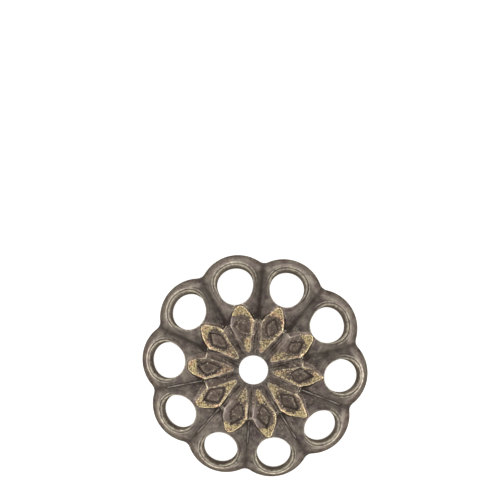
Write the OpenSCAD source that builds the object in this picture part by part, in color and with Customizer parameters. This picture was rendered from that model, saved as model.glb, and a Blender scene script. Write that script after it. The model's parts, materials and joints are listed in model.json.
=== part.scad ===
// A flower-shaped bead cap, stamped in one piece from thin sheet. It is a
// shallow dome with a turned-down scalloped rim. Each lobe has one round
// hole, and a raised petal with a diamond-shaped recess points at it. The
// axis is Z, the rim's cut edge lies on Z = 0, and one lobe points along +X.

/* [Cap] */
// Diameter over the tips of the lobes
cap_d = 15; // [13.5:0.25:18]
// Height of the dome at its middle, without the petals
dome_h = 2.48; // [2.2:0.02:2.9]
// Thickness of the sheet
sheet_t = 0.4; // [0.3:0.02:0.44]
// Number of lobes, each with its petal and hole
lobe_count = 10; // [9:1:11]
// Diameter of the hole in the middle
bore_d = 1.94; // [1.4:0.02:2.4]

/* [Lobes] */
// Radius of the arc that outlines each lobe
lobe_r = 2.6; // [2.4:0.02:2.8]
// Radius of the fillet in the notch between two lobes
notch_r = 0.6; // [0.3:0.05:0.8]
// Diameter of the hole in each lobe
hole_d = 2.3; // [1.6:0.05:2.5]
// Distance from a lobe's tip to the middle of its hole
hole_inset = 1.88; // [1.8:0.02:2.2]
// Depth of the crease between two lobes
crease_depth = 0.36; // [0.1:0.02:0.44]
// Width of the slope on each side of a crease
crease_w = 0.7; // [0.5:0.05:0.9]

/* [Rim] */
// Height that the dome would have at the lobes' tips without the bend
dome_foot = 0.62; // [0.56:0.02:0.8]
// Width of the turned-down bend, seen from above
bend_w = 0.64; // [0.56:0.02:0.76]
// Height of the straight wall below the bend
wall_h = 0.08; // [0.04:0.02:0.12]
// Thickness of the rim's cut edge
rim_t = 0.34; // [0.26:0.02:0.4]

/* [Petals] */
// Width of the flat lip between the middle hole and the petals
lip_w = 0.23; // [0.16:0.01:0.35]
// Gap between a petal's tip and its hole
tip_gap = 0.1; // [0.04:0.02:0.3]
// Gap between two petals where they are widest
petal_gap = 0.1; // [0.06:0.02:0.4]
// Height of a petal above the dome
petal_h = 0.22; // [0.1:0.02:0.28]
// Width of the slope around a petal
flank_w = 0.17; // [0.1:0.01:0.2]
// Width of the diamond-shaped recess in a petal
recess_w = 0.98; // [0.7:0.02:1.1]
// Depth of the recess
recess_depth = 0.18; // [0.08:0.02:0.24]
// Width of the slope inside the recess
recess_slope_w = 0.13; // [0.06:0.01:0.16]

/* [Hidden] */
antique_brass = "#6b6156";

cap_r = cap_d / 2;
bore_r = bore_d / 2;
half_pitch = 180 / lobe_count;

// The dome is part of a sphere
dome_rise = dome_h - dome_foot;
dome_r = (cap_r ^ 2 + dome_rise ^ 2) / (2 * dome_rise);

// A hole's axis stands square to the sheet
hole_circle_r = cap_r - hole_inset;
hole_tilt = asin(hole_circle_r / dome_r);
hole_edge_r = hole_circle_r + sheet_t / 2 * sin(hole_tilt) - hole_d / 2 * cos(hole_tilt);

// Where a petal is widest, as a share of its length
widest_at = 0.58;
petal_start = bore_r + lip_w;
petal_length = hole_edge_r - tip_gap - petal_start;
petal_w = 2 * (petal_start + widest_at * petal_length) * sin(half_pitch) - petal_gap;

// How sharply the sheet falls into a crease: 1 is a straight slope
crease_power = 1.6;
// The share of the crease's depth that is left at the rim
crease_at_rim = 0.6;
// Segments in a full circle
circle_segments = 64;
// Each cutter reaches this far past the sheet on both sides
cutter_reach = 3 * sheet_t;

// The sheet is a grid: rows run from the axis out to the rim, and columns run
// from the middle of a lobe, which is column 0, to the crease beside it.
floor_column = 1;
brim_column = 2;
top_column = 3;
foot_column = 4;
crease_column = 6;

// Sections of a petal, from its inner end to its tip. AT is a share of its
// length, OUTER a share of its width, and RECESS a share of the recess's
// width. RAISED is a share of its height, SUNK of the recess's depth, and
// CREASE of the depth of the crease beside it.
AT = 0;
OUTER = 1;
RECESS = 2;
RAISED = 3;
SUNK = 4;
CREASE = 5;
petal_sections = [
    [0.00, 0.24, 0.00, 0, 0, 0.00],
    [0.05, 0.33, 0.00, 1, 0, 0.10],
    [0.18, 0.50, 0.00, 1, 0, 0.25],
    [0.32, 0.67, 0.14, 1, 0, 0.30],
    [0.37, 0.73, 0.36, 1, 1, 0.30],
    [0.47, 0.85, 0.72, 1, 1, 0.30],
    [widest_at, 1.00, 1.00, 1, 1, 0.30],
    [0.67, 0.91, 0.72, 1, 1, 1.00],
    [0.76, 0.77, 0.34, 1, 1, 1.00],
    [0.80, 0.70, 0.14, 1, 0, 1.00],
    [0.88, 0.58, 0.00, 1, 0, 1.00],
    [0.96, 0.42, 0.00, 1, 0, 1.00],
    [1.00, 0.30, 0.00, 0, 0, 1.00],
];
petal_rows = len(petal_sections);

// Rows between the petals' tips and the bend, as shares of the way
field_shares = [0.2, 0.42, 0.64, 0.84];
field_rows = len(field_shares);

// Rows of the bend, from where it leaves the dome to the straight wall
bend_angles = [0, 24, 46, 68, 90];
bend_rows = len(bend_angles);

// The first row lies inside the middle hole, and the last is the rim's cut edge
first_field_row = 1 + petal_rows;
first_bend_row = first_field_row + field_rows;
edge_row = first_bend_row + bend_rows;
row_count = edge_row + 1;
column_count = 2 * crease_column * lobe_count;

function polar(r, a) = [r * cos(a), r * sin(a)];
function mix(a, b, share) = a + (b - a) * share;
function unit(v) = v / norm(v);

// The lobe's outline is an arc that meets a fillet in each notch
lobe_centre = [cap_r - lobe_r, 0];
notch_centre_r = lobe_centre.x * cos(half_pitch)
    + sqrt((lobe_r + notch_r) ^ 2 - (lobe_centre.x * sin(half_pitch)) ^ 2);
notch_centre = polar(notch_centre_r, half_pitch);
arc_end = atan2(notch_centre.y, notch_centre.x - lobe_centre.x);

// The direction in which the outline faces at a column, and the point there
function outline_normal(column) =
    column == crease_column
        ? polar(1, half_pitch)
        : polar(1, arc_end * column / (crease_column - 1));
function outline_point(column) =
    column == crease_column
        ? polar(notch_centre_r - notch_r, half_pitch)
        : lobe_centre + lobe_r * outline_normal(column);

// Heights of the dome's outer surface, and of the sheet beside a crease
function dome_z(r) = dome_h - dome_r + sqrt(dome_r ^ 2 - r ^ 2);
function crease_fall(p) =
    let (distance = norm(p) * sin(half_pitch - atan2(p.y, p.x)))
    pow(max(0, 1 - distance / crease_w), crease_power);
function sheet_z(p, crease) = dome_z(norm(p)) - crease * crease_depth * crease_fall(p);

// Distance of a column from the petal's middle line
function column_offset(section, column) =
    let (
        foot = section[OUTER] * petal_w / 2,
        top = foot - flank_w * min(1, section[OUTER] * 2),
        brim = max(section[RECESS] * recess_w / 2, top / 3)
    )
    column == floor_column ? max(brim - recess_slope_w, brim / 3)
    : column == brim_column ? brim
    : column == top_column ? top
    : column == foot_column ? foot
    : 0;

// Columns up to the petal's foot stand at their offsets, and the others share
// the angle that is left up to the crease
function petal_point(section, column) =
    let (
        r = petal_start + section[AT] * petal_length,
        foot_angle = asin(column_offset(section, foot_column) / r),
        share = (column - foot_column) / (crease_column - foot_column),
        angle = column <= foot_column
            ? asin(column_offset(section, column) / r)
            : mix(foot_angle, half_pitch, share),
        p = polar(r, angle),
        sink = column <= floor_column ? section[SUNK] * recess_depth : 0
    )
    column <= top_column && section[RAISED] > 0
        ? [p.x, p.y, dome_z(r) + section[RAISED] * petal_h - sink]
        : [p.x, p.y, sheet_z(p, section[CREASE])];

// A point of the bend: its angle is 0 where it leaves the dome, 90 at the wall
function bend_plan(column, angle) =
    outline_point(column) - outline_normal(column) * bend_w * (1 - sin(angle));
function bend_drop(column) = sheet_z(outline_point(column), crease_at_rim) - wall_h;
function bend_point(column, angle) =
    let (p = bend_plan(column, angle))
    [p.x, p.y, sheet_z(p, crease_at_rim) - bend_drop(column) * (1 - cos(angle))];

function field_point(column, share) =
    let (
        tip = petal_point(petal_sections[petal_rows - 1], column),
        p = mix([tip.x, tip.y], bend_plan(column, 0), share)
    )
    [p.x, p.y, sheet_z(p, mix(1, crease_at_rim, share))];

function flat_point(p, z) = [p.x, p.y, z];

// A point of the outer surface
function outer_point(row, column) =
    row == 0 ? flat_point(polar(bore_r / 2, half_pitch * column / crease_column), dome_z(bore_r / 2))
    : row < first_field_row ? petal_point(petal_sections[row - 1], column)
    : row < first_bend_row ? field_point(column, field_shares[row - first_field_row])
    : row < edge_row ? bend_point(column, bend_angles[row - first_bend_row])
    : flat_point(outline_point(column), 0);

// The inner surface lies behind the outer one by the sheet's thickness, which
// runs down to the rim's along the bend
function inner_point(row, column) =
    let (
        angle = row < first_bend_row ? 0 : row < edge_row ? bend_angles[row - first_bend_row] : 90,
        p = outer_point(row, column),
        slope = [p.x, p.y] / sqrt(dome_r ^ 2 - p.x ^ 2 - p.y ^ 2),
        across = slope * bend_w * cos(angle) + outline_normal(column) * bend_drop(column) * sin(angle),
        facing = unit([across.x, across.y, bend_w * cos(angle)])
    )
    p - mix(sheet_t, rim_t, sin(angle)) * facing;

// One row all the way round: each lobe's columns on both sides of its middle
function place(p, side, angle) = [
    p.x * cos(angle) - side * p.y * sin(angle),
    p.x * sin(angle) + side * p.y * cos(angle),
    p.z
];
function grid_row(row, inner) = [
    for (lobe = [0:lobe_count - 1], column = [1 - crease_column:crease_column])
        let (p = inner ? inner_point(row, abs(column)) : outer_point(row, abs(column)))
        place(p, sign(column), 2 * half_pitch * lobe)
];

// The triangles between two rows, each row given by the number of its first point
function strip(from, to) = [
    for (i = [0:column_count - 1])
        let (j = (i + 1) % column_count)
        each [[from + i, to + j, to + i], [from + i, from + j, to + j]]
];

module sheet() {
    inner_start = row_count * column_count;
    outer_pole = 2 * inner_start;
    inner_pole = outer_pole + 1;
    points = [
        for (row = [0:edge_row]) each grid_row(row, false),
        for (row = [0:edge_row]) each grid_row(row, true),
        [0, 0, dome_z(0)],
        [0, 0, dome_z(0) - sheet_t],
    ];
    faces = [
        for (row = [0:edge_row - 1])
            each strip(row * column_count, (row + 1) * column_count),
        each strip(edge_row * column_count, inner_start + edge_row * column_count),
        for (row = [0:edge_row - 1])
            each strip(inner_start + (row + 1) * column_count, inner_start + row * column_count),
        for (i = [0:column_count - 1])
            let (j = (i + 1) % column_count)
            each [[outer_pole, j, i], [inner_pole, inner_start + i, inner_start + j]],
    ];
    polyhedron(points, faces);
}

// Turned by half a segment, so that no corner of a hole lies on a lobe's middle
module cutter(d) {
    rotate(180 / circle_segments)
        translate([0, 0, -sheet_t / 2 - cutter_reach])
            cylinder(d = d, h = sheet_t + 2 * cutter_reach, $fn = circle_segments);
}

module cap() {
    color(antique_brass)
        difference() {
            sheet();
            translate([0, 0, dome_z(0)])
                cutter(bore_d);
            for (lobe = [0:lobe_count - 1])
                rotate(2 * half_pitch * lobe)
                    translate([hole_circle_r, 0, dome_z(hole_circle_r)])
                        rotate([0, hole_tilt, 0])
                            cutter(hole_d);
        }
}

cap();
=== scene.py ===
"""A stamped flower bead cap with an antique brass finish, lying dome up on a pale floor.

The cap is one closed mesh. Its plan is ten copies of one lobe, and the height of each plan point
comes from the dome, the creases, the petals and the turned-down rim. Lengths are in millimetres
up to the moment when the mesh is made, and distances "from the axis" are seen from above.
"""

import json
import math

import bpy
import numpy as np
from mathutils import Euler, Matrix, Vector, noise


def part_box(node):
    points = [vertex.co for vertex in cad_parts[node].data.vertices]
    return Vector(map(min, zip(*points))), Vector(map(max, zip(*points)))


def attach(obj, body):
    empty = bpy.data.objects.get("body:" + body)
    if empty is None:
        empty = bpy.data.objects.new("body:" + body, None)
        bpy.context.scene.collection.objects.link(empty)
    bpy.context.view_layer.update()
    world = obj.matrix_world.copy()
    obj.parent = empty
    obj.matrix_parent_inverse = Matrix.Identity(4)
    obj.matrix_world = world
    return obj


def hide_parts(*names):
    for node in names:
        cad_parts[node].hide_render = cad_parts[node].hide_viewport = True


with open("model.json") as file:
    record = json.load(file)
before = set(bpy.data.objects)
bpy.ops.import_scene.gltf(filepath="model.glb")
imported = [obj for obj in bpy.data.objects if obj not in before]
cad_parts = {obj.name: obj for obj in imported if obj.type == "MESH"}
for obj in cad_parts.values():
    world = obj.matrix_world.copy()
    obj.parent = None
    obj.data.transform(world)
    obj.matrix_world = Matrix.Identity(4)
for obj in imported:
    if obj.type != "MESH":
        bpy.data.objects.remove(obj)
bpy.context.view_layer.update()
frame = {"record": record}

MM = 0.001

# The sheet
BOX_MARGIN = 0.002
CAP_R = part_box("cap")[1].x / MM - BOX_MARGIN
CENTRE_HOLE = next(m for m in frame["record"]["mounts"] if m["name"] == "centre_hole")
BORE_R = CENTRE_HOLE["dims"]["r_mm"]
LOBES = 10
PITCH = 2 * math.pi / LOBES
HALF_PITCH = PITCH / 2
DOME_H = 2.48
DOME_FOOT = 0.62
DOME_RISE = DOME_H - DOME_FOOT
DOME_R = (CAP_R**2 + DOME_RISE**2) / (2 * DOME_RISE)
SHEET_T = 0.4

# The lobes and their holes
LOBE_R = 2.6
NOTCH_R = 0.6
HOLE_R = 1.16
HOLE_INSET = 1.87
HOLE_CIRCLE_R = CAP_R - HOLE_INSET
HOLE_TILT = math.asin(HOLE_CIRCLE_R / DOME_R)
HOLE_X = HOLE_CIRCLE_R + SHEET_T / 2 * math.sin(HOLE_TILT)

# The creases between the lobes
CREASE_DEPTH = 0.32
CREASE_W = 0.7
CREASE_POWER = 1.3
CREASE_AT_PETALS = 0.06
CREASE_AT_RIM = 0.6
CREASE_OPENING = 0.35
CREASE_ROUND = 0.08

# The crease after each lobe: how dark the painted shade in its bottom is, and where the line scored
# in it ends, if any
CREASE_COLUMNS = ("DARK", "SCORE_END")
CREASES = [
    (0.35, None),
    (0.45, None),
    (0.80, None),
    (0.50, None),
    (0.70, None),
    (0.45, 5.8),
    (0.30, 5.6),
    (0.45, 4.9),
    (0.45, 5.3),
    (0.60, 6.0),
]
CREASE_DARK_W = 0.09
CREASE_DARK_SPREAD = 0.02
CREASE_DARK_FADE_IN = 0.2
CREASE_DARK_FADE_R = 5.5
CREASE_DARK_FADE_OUT = 1.5
SCORE_START_R = 3.5
SCORE_FADE_IN = 0.2
SCORE_FADE_OUT = 0.6
SCORE_DEPTH = 0.025
SCORE_W = 0.09

# The turned-down rim
BEND_W = 0.64
WALL_H = 0.08
RIM_T = 0.34
RIM_ROUND = 0.03

# The petals' relief
PETAL_START_R = BORE_R + 0.1
PETAL_FADE = 0.4
PETAL_CORNER_R = 3.1
PETAL_H = 0.22
PETAL_H_INSIDE = 0.1
PETAL_RISE_START_R = 1.5
PETAL_RISE_LENGTH = 1.6
CREST_FALL = 0.06
RECESS_DEPTH = 0.13
RECESS_SLOPE_W = 0.09
PILLOW_H = 0.035
PILLOW_W = 0.24
BRIDGE_R = PETAL_CORNER_R + 0.08
BRIDGE_H = 0.09
BRIDGE_W = 0.05
BRIDGE_LENGTH = 0.12
HIP_R = PETAL_CORNER_R + 0.05

# Edges that punching and tumbling have rounded, and the ring pressed round each lobe's hole. A
# hole's edge flares most towards the rim.
BORE_LIP_R = 0.08
HOLE_LIP_R = 0.06
HOLE_REACH = 0.66
FLARE_OUTSIDE = 0.14
FLARE_INSIDE = 0.05
FLARE_ALL_ROUND = 0.45
FLARE_TO_RIM = 0.8
RING_DEPTH = 0.025
RING_AT = 0.12
RING_W = 0.05

# Half outlines on a petal, from the middle hole outwards: distance from the axis, half width
PETAL_FOOT = [
    (0.75, 0.2),
    (3.1, 0.97),
    (3.42, 0.89),
    (3.88, 0.69),
    (4.3, 0.49),
    (4.5, 0.34),
    (4.6, 0.16),
]
PETAL_CREST = [
    (1.26, 0.0),
    (1.36, 0.11),
    (1.6, 0.2),
    (2.1, 0.36),
    (3.15, 0.74),
    (3.6, 0.62),
    (4.05, 0.41),
    (4.38, 0.23),
    (4.48, 0.0),
]
TIP_R = 4.5
SWAY_START_R = 1.5
SWAY_LENGTH = 3.0
BLUNT_START_R = 3.6
BLUNT_LENGTH = 0.9

# How each petal differs from that, in order round the cap from +X. TIP: distance of its tip from
# the axis. BLUNT: width of the tip. SWAY: how far the tip leans towards the next petal. UP and
# LOW: the crest's width on the side of the next petal and of the one before. DEEP: depth of the
# recess. RUB_...: how far the dark finish is rubbed off that side, the tip and the inner end.
PETAL_COLUMNS = (
    "TIP", "BLUNT", "SWAY", "UP", "LOW", "DEEP", "RUB_UP", "RUB_LOW", "RUB_TIP", "RUB_IN",
)
PETALS = [
    (4.60, 0.50, -0.09, 0.78, 0.98, 1.00, 0.56, 0.76, 0.80, 0.58),
    (4.45, 0.85, -0.08, 0.86, 1.10, 1.00, 0.16, 0.80, 0.86, 0.74),
    (4.40, 0.75, -0.03, 0.96, 1.00, 0.95, 0.35, 0.80, 0.84, 0.64),
    (4.28, 0.95, -0.02, 1.12, 1.00, 0.60, 0.12, 0.76, 1.00, 0.88),
    (4.42, 0.80, 0.05, 1.08, 0.92, 1.05, 0.86, 0.62, 0.84, 0.48),
    (4.30, 1.10, 0.10, 1.16, 0.82, 1.10, 0.84, 0.34, 0.94, 0.44),
    (4.40, 0.90, 0.04, 1.20, 0.70, 1.10, 0.96, 0.60, 0.78, 0.68),
    (4.45, 0.90, 0.05, 1.16, 1.02, 0.95, 0.76, 0.12, 0.88, 0.50),
    (4.54, 0.75, 0.00, 1.08, 1.00, 1.05, 0.62, 0.11, 0.82, 0.80),
    (4.64, 0.60, -0.02, 0.90, 1.10, 1.10, 0.50, 0.84, 0.90, 0.58),
]

# A side rubbed less than this gets a painted sheen instead, a lighter tone where its flank reflects
# light
SHEEN_BELOW = 0.2
SHEEN_FADE = 0.1

# Where a petal is rubbed all over: start and width of the change at the tip and at the inner end,
# and the half width of that end. Elsewhere only a share of the rubbing reaches past the crest.
RUB_AT_TIP = (3.7, 0.25)
RUB_AT_INSIDE = (2.0, 0.5)
RUB_INSIDE_W = 0.22
RUB_PAST_CREST = 0.34

# The recess of each petal: distance of its inner and outer corner from the axis, half width on
# the side of the next petal and of the one before.
RECESS_COLUMNS = ("IN", "OUT", "UP", "LOW")
RECESSES = [
    (2.30, 3.88, 0.50, 0.54),
    (2.50, 3.84, 0.42, 0.54),
    (2.22, 3.80, 0.47, 0.50),
    (2.15, 3.76, 0.68, 0.52),
    (2.10, 3.84, 0.56, 0.46),
    (2.02, 3.80, 0.68, 0.40),
    (2.06, 3.98, 0.70, 0.42),
    (2.12, 3.98, 0.66, 0.42),
    (2.20, 3.94, 0.54, 0.48),
    (2.25, 3.92, 0.52, 0.54),
]
RECESS_WIDEST_R = 3.04

# Points between a recess's corners: share of the way to the widest place, share of the width
RECESS_INNER_POINT = (0.45, 0.62)
RECESS_OUTER_POINT = (0.50, 0.56)

# How far the edge of each lobe's hole lies outside its circle: towards the rim, towards the next
# lobe, towards the petal and towards the lobe before.
HOLE_COLUMNS = ("OUT", "UP", "IN", "LOW")
HOLES = [
    (0.07, -0.06, -0.03, -0.08),
    (-0.04, -0.03, 0.14, 0.05),
    (-0.03, 0.02, 0.12, -0.08),
    (-0.04, 0.02, 0.26, 0.04),
    (0.01, 0.05, 0.06, 0.03),
    (0.01, 0.03, 0.09, 0.01),
    (-0.05, -0.05, -0.02, 0.01),
    (0.02, -0.02, -0.04, -0.06),
    (0.09, -0.03, -0.05, -0.07),
    (-0.01, -0.06, -0.24, -0.06),
]

# Petals are cut a little unevenly: length and amount of the waver in their outlines. Blender's
# noise_vector takes its places from the clock unless a seed is set.
WAVER_LENGTH = 0.9
WAVER_AMOUNT = 0.05
WAVER_SEED = 1

# Spots in the creases, painted shade at the petals' corners and a dark spot at the bore: how dark,
# distance from the axis, width outwards and width across
SHADE_AT_CORNER = (0.4, 3.6, 0.5, 0.42)
SHADE_IN_CORNER = (0.95, 3.48, 0.2, 0.15)
DARK_AT_BORE = (0.6, 1.6, 0.35, 0.06)
# The most that dark patina and painted shade darken the hollows
HOLLOW_DARK_MOST = 0.75

# How light the patina is made, where 0 is dark and 1 is light: by wear, and by painted light in the
# valleys between petals and, in part, round the holes
WORN_PETAL = 0.4
WORN_BORE = 0.4
WORN_AND_LIT_HOLE = 0.6
WORN_BY_HOLE = 0.4
LIGHTER_BY_TIP = 0.9
WORN_BEND = 0.18
WORN_BEND_AT_LOBE = 0.26
WORN_INSIDE = 0.3
WORN_WALL = 0.6

# Lengths at which stored distances reach 1. Distances to a crest are stored around 0.5.
CREST_FAR = 0.25
SCORE_FAR = 0.25
HOLE_FAR = 2.0
CREASE_FAR = 1.5

# Mesh density of one lobe
PETAL_COLUMN_COUNT = 44
PETAL_ROW_COUNT = 52
SPLIT_R = 4.25
SIDE_COUNT = 13
RIM_COUNT = 40
RING_ROW_COUNT = 8
LIP_STEPS = [0.015, 0.04, 0.075, 0.115, 0.16]
LIP_SQUEEZE = 0.6
BEND_ANGLES = np.radians(np.linspace(0, 90, 10))
RIM_ROUND_ANGLES = np.radians([0, 30, 60, 90])
WALL_ROW_COUNT = 3
WELD_DECIMALS = 5

# Small numbers that avoid a division by 0, in distances and at a polygon's level edges
TINY = 1e-9
LEVEL = 1e-12

# The sector round a lobe's middle in which its petal and hole are worked out
SECTOR_SLOPE = 0.34
SECTOR_MARGIN = 0.05


def polar(r, angle):
    return np.stack([r * np.cos(angle), r * np.sin(angle)], axis=-1)


def turned(vectors, angle):
    c, s = math.cos(angle), math.sin(angle)
    return vectors @ np.array([[c, s], [-s, c]])


def smooth(x):
    x = np.clip(x, 0, 1)
    return x * x * (3 - 2 * x)


def rise(x, start, width):
    """0 up to start, 1 from start + width on, and smooth between."""
    return smooth((x - start) / width)


def fall(x, start, width):
    """1 up to start, 0 from start + width on, and smooth between."""
    return 1 - rise(x, start, width)


def bell(x, middle, width):
    """1 where x is at middle, falling to 0 on both sides."""
    return np.exp(-(((x - middle) / width) ** 2))


# Plan of one lobe


def half_outline():
    """Points along half a lobe's outline, from tip to notch, and the directions they face."""
    centre_x = CAP_R - LOBE_R
    to_notch = (LOBE_R + NOTCH_R) ** 2 - (centre_x * math.sin(HALF_PITCH)) ** 2
    notch_centre = polar(centre_x * math.cos(HALF_PITCH) + math.sqrt(to_notch), HALF_PITCH)
    arc_end = math.atan2(notch_centre[1], notch_centre[0] - centre_x)
    arc_length = LOBE_R * arc_end
    length = arc_length + NOTCH_R * (arc_end - HALF_PITCH)
    points, normals = [], []
    for s in np.linspace(0, length, RIM_COUNT // 2 + 1):
        if s <= arc_length:
            normals.append(polar(1, s / LOBE_R))
            points.append(np.array([centre_x, 0]) + LOBE_R * normals[-1])
        else:
            normals.append(polar(1, arc_end - (s - arc_length) / NOTCH_R))
            points.append(notch_centre - NOTCH_R * normals[-1])
    return np.array(points), np.array(normals)


def whole_row(half):
    """The row of half a lobe's points with its mirror image before it."""
    return np.vstack([half[:0:-1] * [1, -1], half])


class Template:
    """Plan points of one lobe with what places them in height, and the quads between them."""

    def __init__(self):
        self.points, self.bend, self.normals, self.edge_z, self.quads = [], [], [], [], []
        split = self.petal_block()
        bend_start = self.rim_strips()
        low_side = self.side(split[0], bend_start[0])
        high_side = self.side(split[-1], bend_start[-1])
        self.hole_ring(bend_start + high_side[::-1] + split[::-1] + low_side)

    def add(self, row, bend=0.0, normals=None, edge_z=np.nan):
        start = len(self.points)
        self.points += list(row)
        self.bend += [bend] * len(row)
        self.normals += [np.zeros(2)] * len(row) if normals is None else list(normals)
        self.edge_z += [edge_z] * len(row)
        return list(range(start, start + len(row)))

    def join(self, inner, outer):
        self.quads += [(a, d, c, b) for a, b, c, d in zip(inner, inner[1:], outer[1:], outer)]

    def petal_block(self):
        """Arcs from the middle hole out to SPLIT_R, closer together in angle near the creases.

        Returns the last arc.
        """
        share = np.linspace(-1, 1, PETAL_COLUMN_COUNT + 1)
        angles = HALF_PITCH * (0.7 * share + 0.3 * np.sin(share * math.pi / 2))
        lip = BORE_R + np.array([0.0] + LIP_STEPS[:4])
        radii = [*lip, *np.linspace(lip[-1], SPLIT_R, PETAL_ROW_COUNT + 1)[1:]]
        rows = [self.add(polar(r, angles)) for r in radii]
        for inner, outer in zip(rows, rows[1:]):
            self.join(inner, outer)
        return rows[-1]

    def rim_strips(self):
        """The bend, and the rounded edge that it stands on. Returns the bend's first row."""
        outline, facing = (whole_row(half) for half in half_outline())
        rows = []
        for angle in BEND_ANGLES:
            inset = BEND_W * (1 - math.sin(angle))
            rows.append(self.add(outline - facing * inset, angle, facing))
        for turn in RIM_ROUND_ANGLES:
            inset = RIM_ROUND * (1 - math.cos(turn))
            height = RIM_ROUND * (1 - math.sin(turn))
            rows.append(self.add(outline - facing * inset, math.pi / 2, facing, height))
        for inner, outer in zip(rows, rows[1:]):
            self.join(inner, outer)
        return rows[0]

    def side(self, start, end):
        """Points along a crease, between the petal block and the bend."""
        shares = np.linspace(0, 1, SIDE_COUNT + 1)[1:-1, None]
        return self.add(self.points[start] + (self.points[end] - self.points[start]) * shares)

    def hole_ring(self, loop):
        """Rays from the hole's edge to the loop of all the points around it."""
        away = np.array([self.points[i] for i in loop]) - [HOLE_X, 0]
        direction = np.arctan2(away[:, 1], away[:, 0] / math.cos(HOLE_TILT))
        edge = polar(HOLE_R, direction) * [math.cos(HOLE_TILT), 1]
        length = np.linalg.norm(away - edge, axis=1)
        squeeze = np.minimum(1, LIP_SQUEEZE * length / LIP_STEPS[-1])
        steps = [s * squeeze for s in [0.0] + LIP_STEPS]
        rest = length - steps[-1]
        steps += [steps[-1] + rest * k / RING_ROW_COUNT for k in range(1, RING_ROW_COUNT)]
        rows = [self.add([HOLE_X, 0] + edge + (away - edge) * (s / length)[:, None]) for s in steps]
        for inner, outer in zip(rows, rows[1:] + [loop]):
            self.join(inner + inner[:1], outer + outer[:1])


class Plan:
    """All the lobes' plan points, welded where neighbours meet."""

    def __init__(self):
        t = Template()
        points = np.vstack([turned(np.array(t.points), PITCH * k) for k in range(LOBES)])
        normals = np.vstack([turned(np.array(t.normals), PITCH * k) for k in range(LOBES)])
        edge_z = np.tile(t.edge_z, LOBES)
        key = np.round(np.column_stack([points, np.nan_to_num(edge_z, nan=1)]), WELD_DECIMALS)
        _, first, welded = np.unique(key, axis=0, return_index=True, return_inverse=True)
        quads = np.vstack([np.array(t.quads) + len(t.points) * k for k in range(LOBES)])
        self.quads = welded.ravel()[quads]
        self.points = points[first]
        self.bend = np.tile(t.bend, LOBES)[first]
        self.normals = normals[first]
        self.edge_z = edge_z[first]


# Shapes on the plan


def wavered(points):
    """Plan points with a slow, random shift, so that no two petals are cut quite alike."""
    slice_z = 7.3
    noise.seed_set(WAVER_SEED)
    places = points / WAVER_LENGTH
    shift = [noise.noise_vector(Vector((x, y, slice_z))) for x, y in places]
    return points + WAVER_AMOUNT * np.array(shift)[:, :2]


def polygon_distance(x, y, corners):
    """Signed distance from points to a polygon, negative inside."""
    nearest = np.full(x.shape, np.inf)
    inside = np.zeros(x.shape, bool)
    for (ax, ay), (bx, by) in zip(corners, corners[1:] + corners[:1]):
        ex, ey = bx - ax, by - ay
        wx, wy = x - ax, y - ay
        t = np.clip((wx * ex + wy * ey) / (ex * ex + ey * ey), 0, 1)
        nearest = np.minimum(nearest, np.hypot(wx - t * ex, wy - t * ey))
        rising = (ay > y) != (by > y)
        inside ^= rising & (x < ex * (y - ay) / (ey + LEVEL) + ax)
    return np.where(inside, -nearest, nearest)


def closed(half, up=1.0, low=1.0):
    """A half outline with its mirror image, with the width of each side scaled."""
    upper = [(x, y * up) for x, y in half]
    lower = [(x, -y * low) for x, y in half[::-1] if y > 0]
    return upper + lower


def recess_outline(k):
    """The diamond-shaped outline of petal k's recess."""
    row =dict(zip(RECESS_COLUMNS, RECESSES[k]))
    inner_length, outer_length = RECESS_WIDEST_R - row["IN"], row["OUT"] - RECESS_WIDEST_R
    half = [
        (row["IN"], 0.0),
        (row["IN"] + RECESS_INNER_POINT[0] * inner_length, RECESS_INNER_POINT[1]),
        (RECESS_WIDEST_R, 1.0),
        (RECESS_WIDEST_R + RECESS_OUTER_POINT[0] * outer_length, RECESS_OUTER_POINT[1]),
        (row["OUT"], 0.0),
    ]
    return closed(half, row["UP"], row["LOW"])


def hole_growth(k, across, y, flare):
    """How far the edge of lobe k's hole lies outside its circle, in the direction of a point."""
    hole = dict(zip(HOLE_COLUMNS, HOLES[k]))
    turn = np.arctan2(y, across)
    along = np.where(np.cos(turn) > 0, hole["OUT"], hole["IN"]) * np.cos(turn) ** 2
    aside = np.where(np.sin(turn) > 0, hole["UP"], hole["LOW"]) * np.sin(turn) ** 2
    return along + aside + flare * smooth(FLARE_ALL_ROUND + FLARE_TO_RIM * np.cos(turn))


def opened_holes(points, flare):
    """The plan points, moved away from each hole's middle where its edge lies further out."""
    points = points.copy()
    for k in range(LOBES):
        x, y = turned(points, -PITCH * k).T
        across = (x - HOLE_X) / math.cos(HOLE_TILT)
        away = np.maximum(np.hypot(across, y), TINY)
        nearness = np.clip(1 - ((away - HOLE_R) / HOLE_REACH) ** 2, 0, 1) ** 2
        shift = hole_growth(k, across, y, flare) * nearness * (x > 0) / away
        moved = np.column_stack([across * shift * math.cos(HOLE_TILT), y * shift])
        points += turned(moved, PITCH * k)
    return points


def crease_marks(azimuth, r):
    """Distance to the nearest scored line, growing past its end, and the painted shade in the
    creases.
    """
    nearest = np.full(r.shape, np.inf)
    dark = np.zeros(r.shape)
    for k in range(LOBES):
        row = dict(zip(CREASE_COLUMNS, CREASES[k]))
        off = azimuth - PITCH * (k + 0.5)
        distance = np.where(np.cos(off) > 0, r * np.abs(np.sin(off)), np.inf)
        # Painted shade in the bottom of each crease
        width = CREASE_DARK_W + CREASE_DARK_SPREAD * r
        dark = np.maximum(dark, row["DARK"] * bell(distance, 0, width))
        if row["SCORE_END"]:
            past_end = fall(r, SCORE_START_R - SCORE_FADE_IN, SCORE_FADE_IN)
            past_end = past_end + rise(r, row["SCORE_END"], SCORE_FADE_OUT)
            nearest = np.minimum(nearest, distance + SCORE_FAR * past_end)
    dark = dark * rise(r, PETAL_CORNER_R, CREASE_DARK_FADE_IN)
    return nearest, dark * fall(r, CREASE_DARK_FADE_R, CREASE_DARK_FADE_OUT)


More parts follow.
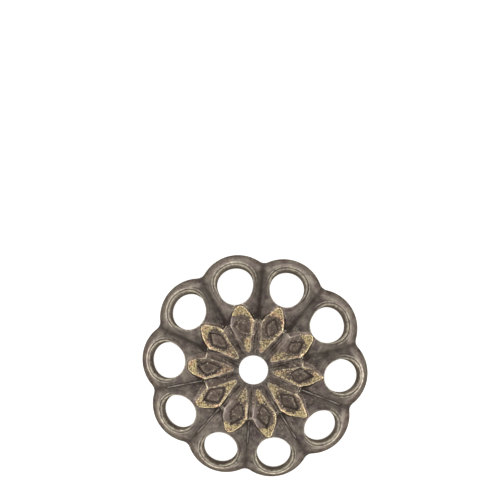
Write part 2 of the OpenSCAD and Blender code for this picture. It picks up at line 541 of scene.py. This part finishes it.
class Petal:
    """Petal k at points of its lobe, with signed distances to its outlines, negative inside."""

    def __init__(self, k, x, y):
        self.row = row = dict(zip(PETAL_COLUMNS, PETALS[k]))
        stretch = (row["TIP"] - PETAL_CORNER_R) / (TIP_R - PETAL_CORNER_R)
        past_corner = np.maximum(0, x - PETAL_CORNER_R)
        y = y - row["SWAY"] * rise(x, SWAY_START_R, SWAY_LENGTH)
        x = x - past_corner + past_corner / stretch
        y = y / (1 + (row["BLUNT"] - 1) * rise(x, BLUNT_START_R, BLUNT_LENGTH))
        self.x, self.y = x, y
        self.inside_foot = -polygon_distance(x, y, closed(PETAL_FOOT))
        self.crest = polygon_distance(x, y, closed(PETAL_CREST, row["UP"], row["LOW"]))
        self.recess = polygon_distance(x, y, recess_outline(k))
        self.outer_side = rise(x, PETAL_CORNER_R, 0.2)
        self.side_rub = np.where(y > 0, row["RUB_UP"], row["RUB_LOW"])

    def relief(self):
        """Height above the dome: up the flank to the crest, and down a little to the recess."""
        foot = np.maximum(0, self.inside_foot)
        outside, inside = np.maximum(self.crest, 0), np.maximum(self.recess, 0)
        climb = np.where(self.crest > 0, foot / (foot + outside + TINY), 1)
        to_recess = np.where(self.crest < 0, self.crest / (self.crest - inside - TINY), 0)
        crest_h = (PETAL_H - PETAL_H_INSIDE) * rise(self.x, PETAL_RISE_START_R, PETAL_RISE_LENGTH)
        height = (PETAL_H_INSIDE + crest_h) * climb - CREST_FALL * smooth(to_recess)
        sunk = RECESS_DEPTH * rise(-self.recess, 0, RECESS_SLOPE_W)
        sunk = sunk - PILLOW_H * rise(-self.recess, RECESS_SLOPE_W, PILLOW_W)
        fade = rise(np.hypot(self.x, self.y), PETAL_START_R, PETAL_FADE)
        return fade * (height - self.row["DEEP"] * sunk)

    def rub(self):
        """How far the patina is rubbed off: all over at both ends, and by the crest between."""
        at_tip = rise(self.x, *RUB_AT_TIP)
        at_inside = fall(self.x, *RUB_AT_INSIDE) * bell(self.y, 0, RUB_INSIDE_W)
        amount = self.side_rub + (self.row["RUB_TIP"] - self.side_rub) * at_tip
        amount = amount + (self.row["RUB_IN"] - amount) * at_inside
        at_crest = bell(self.crest, -0.02, 0.08 + 0.06 * self.outer_side)
        at_crest = RUB_PAST_CREST + (1 - RUB_PAST_CREST) * at_crest
        spread = at_crest + (1 - at_crest) * np.maximum(at_tip, at_inside)
        return amount * spread * fall(self.crest, -0.03, 0.09) * rise(self.recess, 0, 0.06)

    def flank_sheen(self):
        """Sides with a painted sheen, a lighter tone where the flank reflects light, that are not
        rubbed off.
        """
        side = fall(self.side_rub, SHEEN_BELOW - SHEEN_FADE, SHEEN_FADE)
        side = side * rise(self.x, 2.2, 0.3) * fall(self.x, 3.5, 0.4)
        return side * rise(self.recess, 0, 0.1) * rise(self.inside_foot, 0, 0.1)

    def outline_shade(self):
        """Painted shade along the recess's edge and the petal's foot."""
        outline = bell(self.recess, -0.06, 0.085) * min(1, self.row["DEEP"])
        dark = 0.3 - 0.2 * rise(self.x, 1.8, 0.6) + 0.2 * self.outer_side
        dark = dark - 0.3 * rise(self.x, 3.95, 0.3)
        at_foot = dark * bell(self.inside_foot, 0, 0.04 + 0.08 * self.outer_side)
        return np.maximum(outline, at_foot * (self.x > 1.2))

    def pillow_highlight(self):
        """A painted highlight round the pillow in the recess, on its upper side."""
        return 0.4 * bell(self.recess, -0.22, 0.05) * (self.y > -0.05)

    def raised(self):
        """1 on the whole petal, falling to 0 at its foot."""
        return rise(self.inside_foot, 0, 0.1)

    def top(self):
        """1 inside the crest, falling to 0 on the flank."""
        return fall(self.crest, -0.03, 0.06)

    def shine(self):
        """How bright the painted highlight on the crest is."""
        return (0.15 + 0.6 * self.side_rub) * (1 - 0.6 * rise(self.x, PETAL_CORNER_R, 0.4))

    def hip(self):
        """Distance from the ridge down the flank at the petal's corner."""
        on_flank = (self.crest > 0) & (self.inside_foot > -0.02)
        return np.where(on_flank, self.x - HIP_R, np.inf)


class Fields:
    """What the surface and its finish need to know at each plan point."""

    def __init__(self, points, flare=0.0):
        self.flare = flare
        x, y = points.T
        self.r = np.hypot(x, y)
        azimuth = np.arctan2(y, x)
        off_axis = azimuth - np.round(azimuth / PITCH) * PITCH
        self.crease = self.r * np.sin(HALF_PITCH - np.abs(off_axis))
        self.score, self.crease_shade = crease_marks(azimuth, self.r)
        self.relief, self.rub, self.flank_sheen = (np.zeros(len(x)) for _ in range(3))
        self.pillow_highlight, self.outline_shade, self.raised = (np.zeros(len(x)) for _ in range(3))
        self.top, self.crest_shine, self.hole_side = (np.zeros(len(x)) for _ in range(3))
        self.crest, self.hip, self.hole = (np.full(len(x), np.inf) for _ in range(3))
        bent = wavered(points)
        for k in range(LOBES):
            local = turned(points, -PITCH * k)
            reach = SECTOR_SLOPE * local[:, 0] + SECTOR_MARGIN
            near = np.nonzero((local[:, 0] > 0) & (np.abs(local[:, 1]) < reach))[0]
            self.add_petal(near, Petal(k, *turned(bent[near], -PITCH * k).T))
            self.add_hole(near, k, *local[near].T)

    def add_petal(self, near, petal):
        for field, values in (
            (self.relief, petal.relief()),
            (self.rub, petal.rub()),
            (self.flank_sheen, petal.flank_sheen()),
            (self.outline_shade, petal.outline_shade()),
            (self.pillow_highlight, petal.pillow_highlight()),
            (self.raised, petal.raised()),
            (self.top, petal.top()),
        ):
            field[near] = np.maximum(field[near], values)
        closer = np.abs(petal.crest) < np.abs(self.crest[near])
        self.crest[near] = np.where(closer, petal.crest, self.crest[near])
        self.crest_shine[near] = np.where(closer, petal.shine(), self.crest_shine[near])
        hip = petal.hip()
        self.hip[near] = np.where(np.abs(hip) < np.abs(self.hip[near]), hip, self.hip[near])

    def add_hole(self, near, k, x, y):
        """Distance to the hole's edge, and the side of the hole: 1 to the rim, -1 to the petal."""
        across = (x - HOLE_X) / math.cos(HOLE_TILT)
        away = np.hypot(across, y)
        distance = away - HOLE_R - hole_growth(k, across, y, self.flare)
        closer = distance < self.hole[near]
        side = across / np.maximum(away, TINY)
        self.hole[near] = np.where(closer, distance, self.hole[near])
        self.hole_side[near] = np.where(closer, side, self.hole_side[near])


# Heights


def dome_z(r):
    return DOME_H - DOME_R + np.sqrt(DOME_R**2 - r**2)


def crease_strength(r):
    """How deep the sheet falls into a crease: little between petals, fully past them, and less
    again at the rim."""
    inner = CREASE_AT_PETALS * rise(r, PETAL_START_R, PETAL_FADE)
    opened = inner + (1 - inner) * rise(r, PETAL_CORNER_R, CREASE_OPENING)
    to_rim = rise(r, TIP_R, CAP_R - BEND_W - TIP_R)
    return opened * (1 - (1 - CREASE_AT_RIM) * to_rim)


def sheet_z(f):
    """Height of the sheet without its petals: the dome, its creases and what lies in them."""
    rounded = np.hypot(f.crease, CREASE_ROUND) - CREASE_ROUND
    depth = np.maximum(0, 1 - rounded / CREASE_W) ** CREASE_POWER
    scored = SCORE_DEPTH * np.maximum(0, 1 - f.score / SCORE_W)
    bridge = BRIDGE_H * bell(f.r, BRIDGE_R, BRIDGE_W) * bell(f.crease, 0, BRIDGE_LENGTH)
    return dome_z(f.r) - crease_strength(f.r) * CREASE_DEPTH * depth - scored + bridge


def round_lip(distance, radius):
    """How far a surface drops near an edge that is rounded off."""
    near = np.clip(1 - distance / radius, 0, 1)
    return radius * (1 - np.sqrt(1 - near**2))


def to_rim_side(f):
    """1 round a hole on the side of the rim, falling to 0 at the petal."""
    return rise(f.hole_side, -0.7, 1)


class Face:
    """One face of the sheet before its edges are rounded: its points and the way they face."""

    def __init__(self, plan, flare):
        points = opened_holes(plan.points, flare)
        self.fields = f = Fields(points, flare)
        on_rim = np.hypot(*plan.normals.T) > 0.5
        self.outline = points + plan.normals * (BEND_W * (1 - np.sin(plan.bend)))[:, None]
        drop = np.where(on_rim, sheet_z(Fields(self.outline)) - WALL_H, 0)
        base = sheet_z(f) - drop * (1 - np.cos(plan.bend)) + f.relief
        base = np.where(np.isnan(plan.edge_z), base, plan.edge_z)
        self.middle = np.column_stack([points, base])

        slope = points / np.sqrt(DOME_R**2 - f.r**2)[:, None]
        level = BEND_W * np.cos(plan.bend)
        across = slope * level[:, None] + plan.normals * (drop * np.sin(plan.bend))[:, None]
        self.facing = np.column_stack([across, level])
        self.facing /= np.linalg.norm(self.facing, axis=1)[:, None]
        self.lip = np.maximum(round_lip(f.hole, HOLE_LIP_R), round_lip(f.r - BORE_R, BORE_LIP_R))


def surfaces(plan):
    """Outer and inner points of the sheet, and the fields at the outer ones."""
    face = Face(plan, FLARE_OUTSIDE)
    ring = RING_DEPTH * bell(face.fields.hole, RING_AT, RING_W) * to_rim_side(face.fields)
    drop = face.lip + ring * np.cos(plan.bend) ** 2
    outer = face.middle - face.facing * drop[:, None]
    back = Face(plan, FLARE_INSIDE)
    thickness = SHEET_T + (RIM_T - SHEET_T) * np.sin(plan.bend)
    inner = back.middle - back.facing * (thickness - 0.5 * back.lip)[:, None]

    is_edge = ~np.isnan(plan.edge_z)
    turn = RIM_ROUND - plan.edge_z[is_edge]
    rounding = RIM_ROUND - np.sqrt(np.maximum(0, RIM_ROUND**2 - turn**2))
    inset = (RIM_T - rounding)[:, None]
    inner[is_edge, :2] = back.outline[is_edge] - plan.normals[is_edge] * inset
    inner[is_edge, 2] = plan.edge_z[is_edge]
    return outer, inner, face.fields


def boundary(quads):
    """Edges with a quad on one side only, in the direction of that quad."""
    edges = np.vstack([quads[:, [i, (i + 1) % 4]] for i in range(4)])
    either_way = np.sort(edges, axis=1)
    _, where, uses = np.unique(either_way, axis=0, return_inverse=True, return_counts=True)
    return edges[uses[where.ravel()] == 1]


# Finish, with painted shade and painted highlights


class ReliefMap:
    """Heights of the creases and petals on an even grid, which show where a hollow or ridge is."""

    STEP = 0.03
    MARGIN = 0.5

    def __init__(self):
        self.reach = math.ceil((CAP_R + self.MARGIN) / self.STEP) * self.STEP
        line = np.arange(-self.reach, self.reach + self.STEP / 2, self.STEP)
        self.count = len(line)
        f = Fields(np.stack(np.meshgrid(line, line, indexing="ij"), axis=-1).reshape(-1, 2))
        inside = np.minimum(f.r, CAP_R)
        self.height = (sheet_z(f) - dome_z(inside) + f.relief).reshape(self.count, self.count)

    def blurred(self, width):
        reach = math.ceil(3 * width / self.STEP)
        kernel = np.exp(-0.5 * (np.arange(-reach, reach + 1) * self.STEP / width) ** 2)
        kernel /= kernel.sum()
        height = np.pad(self.height, reach, mode="edge")
        height = np.apply_along_axis(np.convolve, 0, height, kernel, mode="valid")
        return np.apply_along_axis(np.convolve, 1, height, kernel, mode="valid")

    def hollow(self, width, points):
        """How far each plan point lies below the mean height around it."""
        values = self.blurred(width) - self.height
        place = (points + self.reach) / self.STEP
        low = np.clip(np.floor(place).astype(int), 0, self.count - 2)
        (i, j), (u, v) = low.T, (place - low).T
        near = values[i, j] * (1 - v) + values[i, j + 1] * v
        far = values[i + 1, j] * (1 - v) + values[i + 1, j + 1] * v
        return near * (1 - u) + far * u


def between_petals(f):
    return rise(f.r, 1.7, 0.5) * fall(f.r, PETAL_CORNER_R, 0.15)


def crease_spot(f, strength, r, length, width):
    """A spot in each crease at distance r from the axis."""
    return strength * bell(f.r, r, length) * bell(f.crease, 0, width)


def dirt_and_shade(f, fine, coarse):
    """Dark patina and painted shade in the hollows, and painted shade in the creases and round the
    petals.
    """
    # Dark patina in the hollows, deepened by painted shade
    creased = np.minimum(fine / 0.07 + coarse / 0.3, HOLLOW_DARK_MOST)
    creased = creased * (1 - 0.9 * between_petals(f)) * (1 - 0.5 * bell(f.r, 3.45, 0.2))
    marks = np.maximum(np.maximum(f.outline_shade, f.crease_shade), np.maximum(creased, 0))
    marks = np.maximum(marks, crease_spot(f, *DARK_AT_BORE))
    # Darker beside each hole's ring, on the side of the rim
    ring = 0.15 * bell(f.hole, RING_AT + 0.02, 0.08) * rise(f.hole_side, 0.7, 0.25)
    # Painted shade at the petals' corners and towards the notches
    at_corner = crease_spot(f, *SHADE_AT_CORNER) * (1 - f.raised) + crease_spot(f, *SHADE_IN_CORNER)
    at_notch = 0.6 * rise(f.r, 6.0, 0.5) * bell(f.crease, 0, 0.3)
    return marks + ring + at_corner + at_notch


def wear_and_light(f, bend):
    """Where the patina is lighter: by wear, by painted light in the valleys, partly by painted
    light round the holes.
    """
    on_bend = WORN_BEND + WORN_BEND_AT_LOBE * rise(f.crease, 0.3, 0.8)
    # Round each hole: partly worn, partly painted light
    round_hole = rise(f.hole, 0, 0.1) * fall(f.hole, 0.34, 0.16) * rise(f.hole_side, -0.1, 0.8)
    # Painted light in the valleys between petals, which lie in shade
    in_valley = between_petals(f) * rise(f.r, 1.9, 0.6) * bell(f.crease, 0, 0.18)
    # Lighter beside each hole, towards the petal's tip
    by_tip = rise(-f.hole_side, 0.7, 0.12) * fall(f.hole, 0.3, 0.4)
    return np.maximum.reduce([
        WORN_PETAL * f.top,
        WORN_BORE * fall(f.r, 1.5, 0.4),
        in_valley,
        WORN_AND_LIT_HOLE * round_hole,
        on_bend * rise(bend, 0.3, 0.3),
        LIGHTER_BY_TIP * by_tip,
        WORN_BY_HOLE * fall(f.hole, 0, 0.6),
    ])


def store_finish(mesh, plan, f):
    """Stores what the material needs on the mesh: for the outer face, inner face and walls."""
    relief = ReliefMap()
    fine, coarse = relief.hollow(0.06, plan.points), relief.hollow(0.22, plan.points)
    # A painted highlight along the bore's lip
    bore_lip = 0.25 * bell(f.r, BORE_R + 0.05, 0.04)
    from_hole, from_crease = f.hole / HOLE_FAR, f.crease / CREASE_FAR
    # Where painted shade runs along the valleys between petals
    valley = rise(f.r, 1.15, 0.2) * fall(f.r, 2.35, 0.6)
    attributes = {
        # The next five place painted highlights: on lips, crests, hips and pillows, and along the
        # inner face's ridges
        "edge": (np.maximum(bore_lip, f.pillow_highlight), -fine / 0.03, 0),
        "crest": (0.5 + f.crest / (2 * CREST_FAR), 1, 1),
        "crest_shine": (f.crest_shine, 0, 0),
        "hip": (0.5 + f.hip / (2 * CREST_FAR), 1, 1),
        "lip_shine": (0.3 + 0.5 * to_rim_side(f), 0.3, 0),
        # Dark patina and painted shade in the hollows, inside and out
        "cavity": (dirt_and_shade(f, fine, coarse), -coarse / 0.08, 0.35),
        "rub": (f.rub, 0, 0),
        "flank_sheen": (f.flank_sheen, 0, 0),
        # Wear, and painted light
        "worn_and_lit": (wear_and_light(f, plan.bend), WORN_INSIDE, WORN_WALL),
        "inside": (0, 1, 0.7),
        "score": (f.score / SCORE_FAR, 1, 1),
        "from_hole": (from_hole, from_hole, 0),
        "from_crease": (from_crease, from_crease, 0),
        "valley": (valley, 0, 0),
        "petal": (f.raised * rise(f.r, 1.25, 0.25), f.raised, 0),
    }
    count = len(plan.points)
    for name, (outer, inner, wall) in attributes.items():
        values = np.full(len(mesh.vertices), float(wall))
        values[:count] = outer
        values[count : 2 * count] = inner
        attribute = mesh.attributes.new(name, "FLOAT", "POINT")
        attribute.data.foreach_set("value", np.clip(values, 0, 1).astype(np.float32))


def cap_mesh():
    """The closed mesh: the outer face, the inner face, and walls between their boundaries."""
    plan = Plan()
    outer, inner, fields = surfaces(plan)
    count = len(outer)
    edges = boundary(plan.quads)
    edge_points = np.unique(edges)
    walls = [outer + (inner - outer) * k / WALL_ROW_COUNT for k in range(1, WALL_ROW_COUNT)]
    vertices = np.vstack([outer, inner] + [wall[edge_points] for wall in walls])
    number = np.zeros(count, int)
    number[edge_points] = np.arange(len(edge_points))
    layers = [np.arange(count)]
    layers += [2 * count + k * len(edge_points) + number for k in range(WALL_ROW_COUNT - 1)]
    layers += [count + np.arange(count)]
    faces = [plan.quads, plan.quads[:, ::-1] + count]
    a, b = edges.T
    for high, low in zip(layers, layers[1:]):
        faces.append(np.column_stack([high[b], high[a], low[a], low[b]]))
    mesh = bpy.data.meshes.new("stamped_cap")
    mesh.from_pydata((vertices * MM).tolist(), [], np.vstack(faces).tolist())
    mesh.update()
    mesh.shade_smooth()
    store_finish(mesh, plan, fields)
    return mesh


# Materials


class Nodes:
    """Short ways to add shader nodes to a material or world."""

    def __init__(self, owner):
        owner.use_nodes = True
        self.tree = owner.node_tree
        self.tree.nodes.clear()

    def add(self, kind, inputs=None, **settings):
        node = self.tree.nodes.new("ShaderNode" + kind)
        for name, value in settings.items():
            setattr(node, name, value)
        for name, value in (inputs or {}).items():
            if isinstance(value, bpy.types.NodeSocket):
                self.tree.links.new(value, node.inputs[name])
            else:
                node.inputs[name].default_value = value
        return node

    def chain(self, operation, first, *others):
        """The operation done on the first value and each of the others in turn."""
        for value in others:
            first = self.add("Math", {0: first, 1: value}, operation=operation).outputs[0]
        return first

    def product(self, *values):
        return self.chain("MULTIPLY", *values)

    def total(self, *values):
        return self.chain("ADD", *values)

    def highest(self, *values):
        return self.chain("MAXIMUM", *values)

    def rest(self, value):
        """What value lacks to 1."""
        return self.chain("SUBTRACT", 1.0, value)

    def mix(self, share, a, b, blend="MIX"):
        """Colours a and b mixed by share."""
        inputs = {0: share, 6: a, 7: b}
        return self.add("Mix", inputs, data_type="RGBA", blend_type=blend).outputs[2]

    def ramp(self, value, low, high):
        """0 below low, 1 above high and smooth between."""
        inputs = {"Value": value, "From Min": low, "From Max": high}
        return self.add("MapRange", inputs, interpolation_type="SMOOTHSTEP").outputs[0]

    def between(self, value, low, high):
        """Value from 0 to 1 spread from low to high."""
        return self.add("MapRange", {"Value": value, "To Min": low, "To Max": high}).outputs[0]

    def uneven(self, value, low, high):
        """Noise made stronger, and spread from low to high."""
        return self.between(self.ramp(value, 0.3, 0.7), low, high)

    def line(self, value, place, width):
        """1 where value equals place, falling to 0 at width on both sides."""
        away = self.add("Math", {0: self.chain("SUBTRACT", value, place)}, operation="ABSOLUTE")
        return self.rest(self.ramp(away.outputs[0], 0.0, width))

    def attribute(self, name):
        return self.add("Attribute", attribute_name=name).outputs["Fac"]

    def noise(self, size_mm, detail, offset_mm):
        """Noise whose blobs are about size_mm across."""
        place = self.add("TexCoord").outputs["Object"]
        if offset_mm:
            shift = (offset_mm * MM,) * 3
            place = self.add("VectorMath", {0: place, 1: shift}, operation="ADD").outputs[0]
        inputs = {"Vector": place, "Scale": 1 / (size_mm * MM), "Detail": detail, "Roughness": 0.6}
        return self.add("TexNoise", inputs).outputs["Fac"]

    def streaks(self, distance, width, length_mm):
        """Noise drawn out along the lines of equal distance."""
        place = self.add("SeparateXYZ", {0: self.add("TexCoord").outputs["Object"]})
        along = [self.chain("DIVIDE", place.outputs[i], length_mm * MM) for i in (0, 1)]
        across = self.chain("DIVIDE", distance, width)
        vector = self.add("CombineXYZ", {0: along[0], 1: along[1], 2: across}).outputs[0]
        return self.add("TexNoise", {"Vector": vector, "Scale": 1.0, "Detail": 3.0}).outputs["Fac"]


# Colours
PATINA_WARM = (0.190, 0.150, 0.128, 1)
PATINA_OLIVE = (0.190, 0.164, 0.134, 1)
PATINA_PLUM = (0.158, 0.118, 0.112, 1)
PATINA_BROWN = (0.205, 0.155, 0.124, 1)
# Round the holes: partly worn patina, partly painted light
PATINA_WORN_AND_LIT = (0.199, 0.170, 0.138, 1)
PATINA_INSIDE = (0.105, 0.080, 0.058, 1)
# Dark patina and painted shade
DIRT_AND_SHADE = (0.034, 0.023, 0.019, 1)
# Painted highlights and glints
HIGHLIGHT = (0.80, 0.72, 0.54, 1)
SCORED = (0.42, 0.38, 0.32, 1)
# Painted sheen on the little-rubbed sides of petals
FLANK_SHEEN = (0.265, 0.215, 0.195, 1)
GRAZING_TINT = (0.35, 0.33, 0.30, 1)
BRASS_GOLD = (0.58, 0.45, 0.23, 1)
BRASS_RED = (0.62, 0.36, 0.22, 1)
BRASS_PALE = (0.82, 0.69, 0.41, 1)
BRASS_DARK = (0.19, 0.14, 0.09, 1)

# Noises: size in mm, detail, and a shift in mm that sets each apart from the others
GRAIN = (0.1, 3.0, 0.0)
SPECK = (0.2, 3.0, 5.0)
STAIN = (0.5, 3.0, 23.0)
CLOUD = (1.3, 3.0, 11.0)
RED_PATCH = (1.0, 2.0, 31.0)
GLINT = (0.13, 1.0, 41.0)

# Streaks: width as a share of the stored distance, length in mm
STREAK = (0.04, 2.2)
SCRATCH = (0.04, 1.1)

# Lines on stored distances: place and half width
LIP_LINE = (0.02, 0.034)
SECOND_LIP_LINE = (0.11, 0.026)
RIDGE_LINE = (0.5, 0.1)

BUMP_DEPTH_MM = 0.02


class AntiqueBrass:
    """A dark patina with dirt and painted shade in its hollows, rubbed off to brass, with painted
    highlights on its edges.
    """

    def __init__(self):
        self.material = bpy.data.materials.new("antique_brass")
        self.n = n = Nodes(self.material)
        self.grain, self.speck = n.noise(*GRAIN), n.noise(*SPECK)
        self.stain, self.cloud = n.noise(*STAIN), n.noise(*CLOUD)
        self.from_hole, self.from_crease = n.attribute("from_hole"), n.attribute("from_crease")
        self.petal, self.score = n.attribute("petal"), n.attribute("score")
        self.round_hole = n.rest(n.ramp(self.from_hole, 0.2, 0.5))
        self.by_lip = n.between(n.ramp(self.from_hole, 0.1, 0.25), 1.0, 0.3)
        self.flat = n.rest(n.highest(self.round_hole, self.petal))
        self.streak = n.streaks(self.from_hole, *STREAK)
        self.scratch = n.streaks(self.from_crease, *SCRATCH)
        # Dark patina and painted shade in the hollows
        cavity = n.total(n.attribute("cavity"), n.between(self.speck, -0.3, 0.3))
        self.dirt_and_shade = n.ramp(cavity, 0.15, 0.95)
        rub = n.total(n.attribute("rub"), n.between(self.grain, -0.7, 0.7))
        self.rubbed = n.ramp(n.total(rub, n.between(self.speck, -0.4, 0.4)), 0.30, 0.75)
        colour = self.lit(self.rubbed_bare(self.scored(self.soiled_and_shaded(self.patina()))))
        self.finish(colour)

    def patina(self):
        n = self.n
        colour = n.mix(n.ramp(self.cloud, 0.35, 0.65), PATINA_WARM, PATINA_OLIVE)
        # Lighter round each hole: partly worn, partly painted light
        colour = n.mix(n.product(self.round_hole, 0.7), colour, PATINA_WORN_AND_LIT)
        colour = n.mix(n.ramp(self.stain, 0.45, 0.7), colour, PATINA_PLUM)
        colour = n.mix(self.petal, colour, PATINA_BROWN)
        mottled = n.product(n.uneven(self.grain, 0.82, 1.18), n.uneven(self.speck, 0.74, 1.26))
        mottled = n.product(mottled, n.uneven(self.stain, 1.35, 0.75))
        even = n.product(self.round_hole, 0.6)
        shade = n.total(n.product(mottled, n.rest(even)), even)
        drawn = n.product(self.round_hole, self.by_lip, n.uneven(self.streak, -0.35, 0.35))
        scratched = n.product(self.flat, n.uneven(self.scratch, -0.42, 0.42))
        shade = n.product(shade, n.total(1.0, drawn), n.total(1.0, scratched))
        # Lighter by wear and by painted light
        shade = n.product(shade, n.between(n.attribute("worn_and_lit"), 0.5, 1.0))
        colour = n.mix(1.0, colour, shade, "MULTIPLY")
        return n.mix(n.product(n.attribute("inside"), 0.8), colour, PATINA_INSIDE)

    def soiled_and_shaded(self, colour):
        """Dark patina and painted shade in the hollows, darker beside the scored lines, and painted
        shade along the valleys between petals.
        """
        n = self.n
        groove = n.product(n.rest(n.ramp(self.score, 0.2, 0.6)), 0.9)
        place = n.between(n.ramp(self.cloud, 0.4, 0.6), 0.0, 0.06)
        strength = n.between(n.ramp(self.stain, 0.35, 0.6), 0.45, 1.0)
        # Painted shade along the valleys between petals
        stroke = n.product(n.line(self.from_crease, place, 0.052), strength, n.attribute("valley"))
        return n.mix(n.highest(n.product(self.dirt_and_shade, 0.85), groove, stroke), colour, DIRT_AND_SHADE)

    def scored(self, colour):
        """Bright scored lines, and a painted sheen on the little-rubbed sides of petals."""
        n = self.n
        line = n.rest(n.ramp(self.score, 0.06, 0.22))
        strength = n.between(n.ramp(self.stain, 0.35, 0.6), 0.2, 0.75)
        colour = n.mix(n.product(line, strength), colour, SCORED)
        # Painted sheen on the petals' little-rubbed sides
        strength = n.between(n.ramp(self.stain, 0.3, 0.6), 0.35, 0.9)
        return n.mix(n.product(n.attribute("flank_sheen"), strength), colour, FLANK_SHEEN)

    def rubbed_bare(self, colour):
        """Granular brass where the patina is rubbed off."""
        n = self.n
        brass = n.mix(n.ramp(n.noise(*RED_PATCH), 0.5, 0.65), BRASS_GOLD, BRASS_RED)
        brass = n.mix(n.ramp(self.grain, 0.38, 0.56), BRASS_DARK, brass)
        brass = n.mix(n.ramp(self.grain, 0.54, 0.68), brass, BRASS_PALE)
        return n.mix(self.rubbed, colour, brass)

    def lit(self, colour):
        """Painted highlights on the holes' lips, the petals' crests and hips and other edges, and
        painted glints.
        """
        n = self.n
        lip_shine = n.attribute("lip_shine")
        place = n.total(self.from_hole, n.between(self.speck, -0.01, 0.01))
        lip = n.product(n.line(place, *LIP_LINE), lip_shine, 0.7)
        second_shine = n.between(n.ramp(lip_shine, 0.5, 0.8), 0.0, 0.6)
        second_lip = n.product(n.line(place, *SECOND_LIP_LINE), second_shine)
        crest = n.product(n.line(n.attribute("crest"), *RIDGE_LINE), n.attribute("crest_shine"))
        hip = n.line(n.attribute("hip"), *RIDGE_LINE)
        edge = n.ramp(n.attribute("edge"), 0.1, 0.9)
        broken = n.between(n.ramp(self.speck, 0.35, 0.6), 0.3, 1.0)
        shine = n.product(n.highest(edge, lip, second_lip, crest, hip), broken, 0.9)
        glint = n.product(n.ramp(n.noise(*GLINT), 0.65, 0.76), self.petal, 0.6)
        return n.mix(n.highest(shine, glint), colour, HIGHLIGHT)

    def finish(self, colour):
        n = self.n
        roughness = n.total(0.31, n.between(self.speck, -0.06, 0.10), n.product(self.dirt_and_shade, 0.22))
        metallic = n.chain("SUBTRACT", 0.92, n.product(self.dirt_and_shade, 0.35))
        relief = n.total(
            n.product(self.grain, n.between(self.rubbed, 0.2, 1.0)),
            n.product(self.streak, self.round_hole, self.by_lip),
            n.product(self.scratch, self.flat, 1.2),
            n.product(self.stain, 2.5),
        )
        height = {"Height": relief, "Strength": 0.5, "Distance": BUMP_DEPTH_MM * MM}
        inputs = {
            "Base Color": colour,
            "Roughness": roughness,
            "Metallic": metallic,
            "Normal": n.add("Bump", height).outputs[0],
            "Specular Tint": GRAZING_TINT,
        }
        n.add("OutputMaterial", {"Surface": n.add("BsdfPrincipled", inputs).outputs[0]})


def pale_floor():
    material = bpy.data.materials.new("pale_floor")
    n = Nodes(material)
    inputs = {
        "Base Color": (0.4, 0.4, 0.4, 1),
        "Roughness": 0.9,
        "Emission Color": (1, 0.998, 0.99, 1),
        "Emission Strength": 0.93,
    }
    n.add("OutputMaterial", {"Surface": n.add("BsdfPrincipled", inputs).outputs[0]})
    return material


# Light


def sky():
    """A white room with a darker ceiling."""
    at_horizon, overhead = 3.3, 0.8
    world = bpy.data.worlds.new("studio")
    bpy.context.scene.world = world
    n = Nodes(world)
    place = n.add("TexCoord").outputs["Generated"]
    height = n.add("SeparateXYZ", {0: place}).outputs[2]
    light = n.between(n.ramp(height, 0.15, 0.5), at_horizon, overhead)
    background = n.add("Background", {"Color": (1, 1, 1, 1), "Strength": light})
    n.add("OutputWorld", {"Surface": background.outputs[0]})


def softbox(name, place_mm, size_mm, watts):
    light = bpy.data.lights.new(name, "AREA")
    light.size = size_mm * MM
    light.energy = watts
    lamp = bpy.data.objects.new(name, light)
    place = Vector(place_mm) * MM
    facing = place.to_track_quat("Z", "Y").to_matrix().to_4x4()
    lamp.matrix_world = Matrix.Translation(place) @ facing
    bpy.context.scene.collection.objects.link(lamp)


# The cap

mesh = cap_mesh()
mesh.materials.append(AntiqueBrass().material)
cap = bpy.data.objects.new("stamped_cap", mesh)
bpy.context.scene.collection.objects.link(cap)
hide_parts("cap")
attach(cap, "root")

# The floor and the light

FLOOR_SIZE = 2.0
bpy.ops.mesh.primitive_plane_add(size=FLOOR_SIZE)
floor = bpy.context.object
floor.name = "floor"
floor.data.materials.append(pale_floor())

sky()
softbox("key", (-110, 170, 120), 120, 0.03)
softbox("right", (160, -10, 45), 100, 0.04)
softbox("left", (-150, -20, 105), 100, 0.03)

# The camera looks from straight above, a little off the cap's own axis. Its place is given in its
# own axes.
CAMERA_TURN = [math.radians(angle) for angle in (2.94, -2.23, -5.12)]
CAMERA_PLACE_MM = (-0.315, 7.695, 100.0)
camera_data = bpy.data.cameras.new("camera")
camera_data.lens = 108.4
camera_data.sensor_width = 36
camera_data.clip_start = 0.001
camera = bpy.data.objects.new("camera", camera_data)
bpy.context.scene.collection.objects.link(camera)
axes = Euler(CAMERA_TURN, "XYZ").to_matrix().transposed()
place = Matrix.Translation(axes @ (Vector(CAMERA_PLACE_MM) * MM))
camera.matrix_world = place @ axes.to_4x4()
bpy.context.scene.camera = camera
bpy.context.scene.view_settings.view_transform = "Standard"
